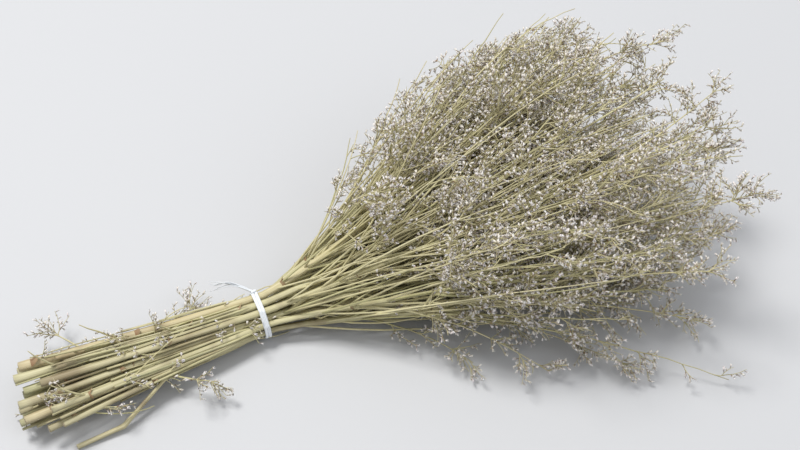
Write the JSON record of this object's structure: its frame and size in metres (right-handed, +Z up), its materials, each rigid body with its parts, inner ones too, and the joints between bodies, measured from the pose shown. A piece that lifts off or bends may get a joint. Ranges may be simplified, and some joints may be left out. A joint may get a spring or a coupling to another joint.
{
  "type": "dried statice bunch",
  "caption": "Tied bunch of dried statice lying on a table, with branching stems, small papery florets and a white string tie.",
  "frame": {"origin": "middle of the flat underside of the white tie, where the bunch rests on the table", "axes": "+X along the bunch from the cut ends towards the flower heads, +Y across the bunch, +Z up from the table"},
  "size_m": [0.5639, 0.3304, 0.1537],
  "materials": {
    "stem_green": "dry, matte, olive green",
    "stem_straw": "dry, matte, straw",
    "string_white": "soft sheen"
  },
  "bodies": {
    "root": {"stem_01": "stem_straw", "stem_02": "stem_green", "stem_03": "stem_green", "stem_04": "stem_straw", "stem_05": "stem_green", "stem_06": "stem_green", "stem_07": "stem_straw", "stem_08": "stem_green", "stem_09": "stem_green", "stem_10": "stem_straw", "stem_11": "stem_green", "stem_12": "stem_green", "stem_13": "stem_straw", "stem_14": "stem_green", "stem_15": "stem_green", "stem_16": "stem_straw", "stem_17": "stem_green", "stem_18": "stem_green", "stem_19": "stem_straw", "stem_20": "stem_green", "stem_21": "stem_green", "stem_22": "stem_straw", "tie": "string_white"}
  },
  "joints": []
}
